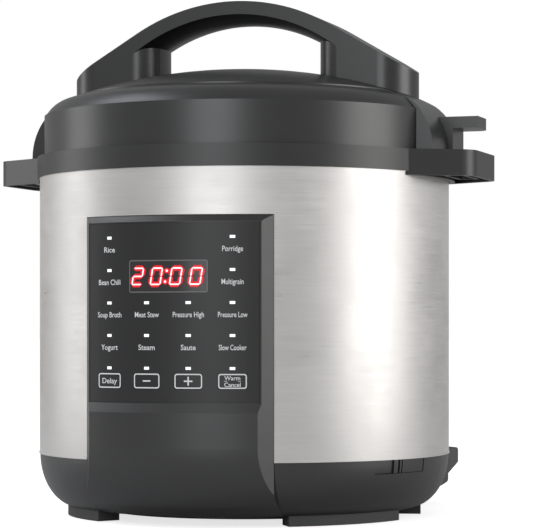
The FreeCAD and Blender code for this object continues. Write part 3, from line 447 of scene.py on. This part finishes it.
def add_segment(sheet, spot, half_length, upright, thick, offset, height):
    """A six-cornered lamp segment that leans with the digit."""
    tip = half_length - thick * 0.15
    body = tip - thick
    outline = [(-tip, 0), (-body, thick), (body, thick), (tip, 0), (body, -thick), (-body, -thick)]
    points = []
    for along, side in outline:
        u, v = (side, along) if upright else (along, side)
        u, v = u + spot[0], v + spot[1]
        points.append((offset + u + v * DIGIT_LEAN, v))
    faces = [(0, 1, 2, 3, 4, 5)] if not upright else [(5, 4, 3, 2, 1, 0)]
    sheet.add(points, faces, 0, height)


def add_dot(sheet, offset, v, radius, height):
    """One round dot of the colon."""
    points = [(offset + v * DIGIT_LEAN + radius * math.cos(math.tau * i / DOT_CORNERS),
               v + radius * math.sin(math.tau * i / DOT_CORNERS)) for i in range(DOT_CORNERS)]
    sheet.add(points, [tuple(range(DOT_CORNERS))], 0, height)


def light_display():
    """Four leaning digits and a colon: a white core on a red glow and a wide faint haze."""
    layers = (("digit_haze", lit("digit_haze", LIT_RED, 0.16), 0.0017, 0.0000, 0.0017),
              ("digit_glow", lit("digit_glow", LIT_RED, 0.42), 0.00088, PRINT_LIFT, 0.0011),
              ("digit_light", lit("digit_light", LIT_WHITE, 0.85), DIGIT_LINE, 2 * PRINT_LIFT, 0.0007))
    for name, finish, thick, lift, dot in layers:
        sheet = Sheet(name, finish, "base", lift)
        for place, digit in enumerate("2000"):
            offset = (place - 1.5) * DIGIT_PITCH + DIGIT_SHIFT
            spots = segment_spots(*DIGIT_HALF)
            for letter in SEGMENTS[digit]:
                spot, half_length, upright = spots[letter]
                reach = half_length + (thick - DIGIT_LINE) * 0.8
                add_segment(sheet, spot, reach, upright, thick, offset, SCREEN_MIDDLE)
        for v in (-COLON_HALF, COLON_HALF):
            add_dot(sheet, DIGIT_SHIFT, v, dot, SCREEN_MIDDLE)
        sheet.make()


# --- studio -----------------------------------------------------------------------------
VIEW_TURN = math.radians(18.9)
VIEW_DISTANCE = 1.520
VIEW_SIDE = 0.0145
EYE = 0.120
ROOM_LIGHT = 0.40         # how bright the white room is to everything but the lens
FLOOR_LIFT = 0.74         # how much lighter the floor looks than it lights the cooker
FLOOR_PAINT = (0.82, 0.82, 0.82)
FLOOR_REACH = 30.0
LIT_POINT = Vector((0, 0, 0.17))    # every light faces this point
LIGHTS = (      # name, bearing, distance, height, size, power and tint
    ("front_panel", -16, 1.5, 0.35, (0.65, 1.2), 4.6, (0.96, 0.98, 1.0)),
    ("right_panel", 72, 1.3, 0.25, (0.75, 1.1), 6.4, (1.0, 0.99, 0.975)),
    ("left_panel", -100, 1.3, 0.25, (0.50, 1.1), 3.0, (1, 1, 1)),
    ("top_panel", -90, 1.1, 1.3, (1.0, 1.0), 7.0, (0.88, 0.92, 1.0)),
)
SENSOR_WIDE, LENS, LENS_SHIFT = 36.0, 155.5, 0.1251


def on_view(bearing, distance, height):
    """A point at an angle from the camera's direction, positive to its right."""
    turn = VIEW_TURN + math.radians(bearing)
    return Vector((distance * math.sin(turn), -distance * math.cos(turn), height))


def panel_light(name, bearing, distance, height, size, power, tint):
    """A soft box facing the middle of the cooker."""
    light = bpy.data.lights.new(name, "AREA")
    light.shape = "RECTANGLE"
    light.size, light.size_y = size
    light.energy = power
    light.color = tint
    lamp = bpy.data.objects.new(name, light)
    lamp.location = on_view(bearing, distance, height)
    aim = LIT_POINT - lamp.location
    lamp.rotation_euler = aim.to_track_quat("-Z", "Y").to_euler()
    bpy.context.collection.objects.link(lamp)


def studio():
    """The four lights round the cooker."""
    for light in LIGHTS:
        panel_light(*light)


def floor_and_air():
    """A pale floor and a white room."""
    mesh = bpy.data.meshes.new("floor")
    corners = [(x * FLOOR_REACH, y * FLOOR_REACH, 0) for x, y in ((-1, -1), (1, -1), (1, 1), (-1, 1))]
    mesh.from_pydata(corners, [], [(0, 1, 2, 3)])
    pale, shader = bare_material("floor_paint")
    set_values(shader, Base_Color=(*FLOOR_PAINT, 1), Roughness=0.9, Emission_Color=(1, 1, 1, 1))
    tree = pale.node_tree
    seen = tree.nodes.new("ShaderNodeLightPath").outputs["Is Camera Ray"]
    tree.links.new(math_node(tree, "MULTIPLY", seen, FLOOR_LIFT), shader.inputs["Emission Strength"])
    mesh.materials.append(pale)
    floor = bpy.data.objects.new("floor", mesh)
    bpy.context.collection.objects.link(floor)
    world = bpy.data.worlds.new("air")
    world.use_nodes = True
    tree = world.node_tree
    air = tree.nodes["Background"]
    seen = tree.nodes.new("ShaderNodeLightPath").outputs["Is Camera Ray"]
    extra = math_node(tree, "MULTIPLY", seen, 1.0 - ROOM_LIGHT)
    tree.links.new(math_node(tree, "ADD", extra, ROOM_LIGHT), air.inputs["Strength"])
    air.inputs["Color"].default_value = (1, 1, 1, 1)
    bpy.context.scene.world = world
    bpy.context.scene.view_settings.view_transform = "Standard"


def camera():
    """The lens that the cooker is seen with, level and shifted up."""
    lens = bpy.data.cameras.new("camera")
    lens.sensor_width = SENSOR_WIDE
    lens.lens = LENS
    lens.shift_y = LENS_SHIFT
    lens.clip_end = 100.0
    eye = bpy.data.objects.new("camera", lens)
    side = Vector((math.cos(VIEW_TURN), math.sin(VIEW_TURN), 0))
    eye.location = on_view(0, VIEW_DISTANCE, EYE) + side * VIEW_SIDE
    eye.rotation_euler = (math.radians(90), 0, VIEW_TURN)
    bpy.context.collection.objects.link(eye)
    bpy.context.scene.camera = eye


dress_nodes()
print_panel()
print_keys()
light_display()
floor_and_air()
studio()
camera()
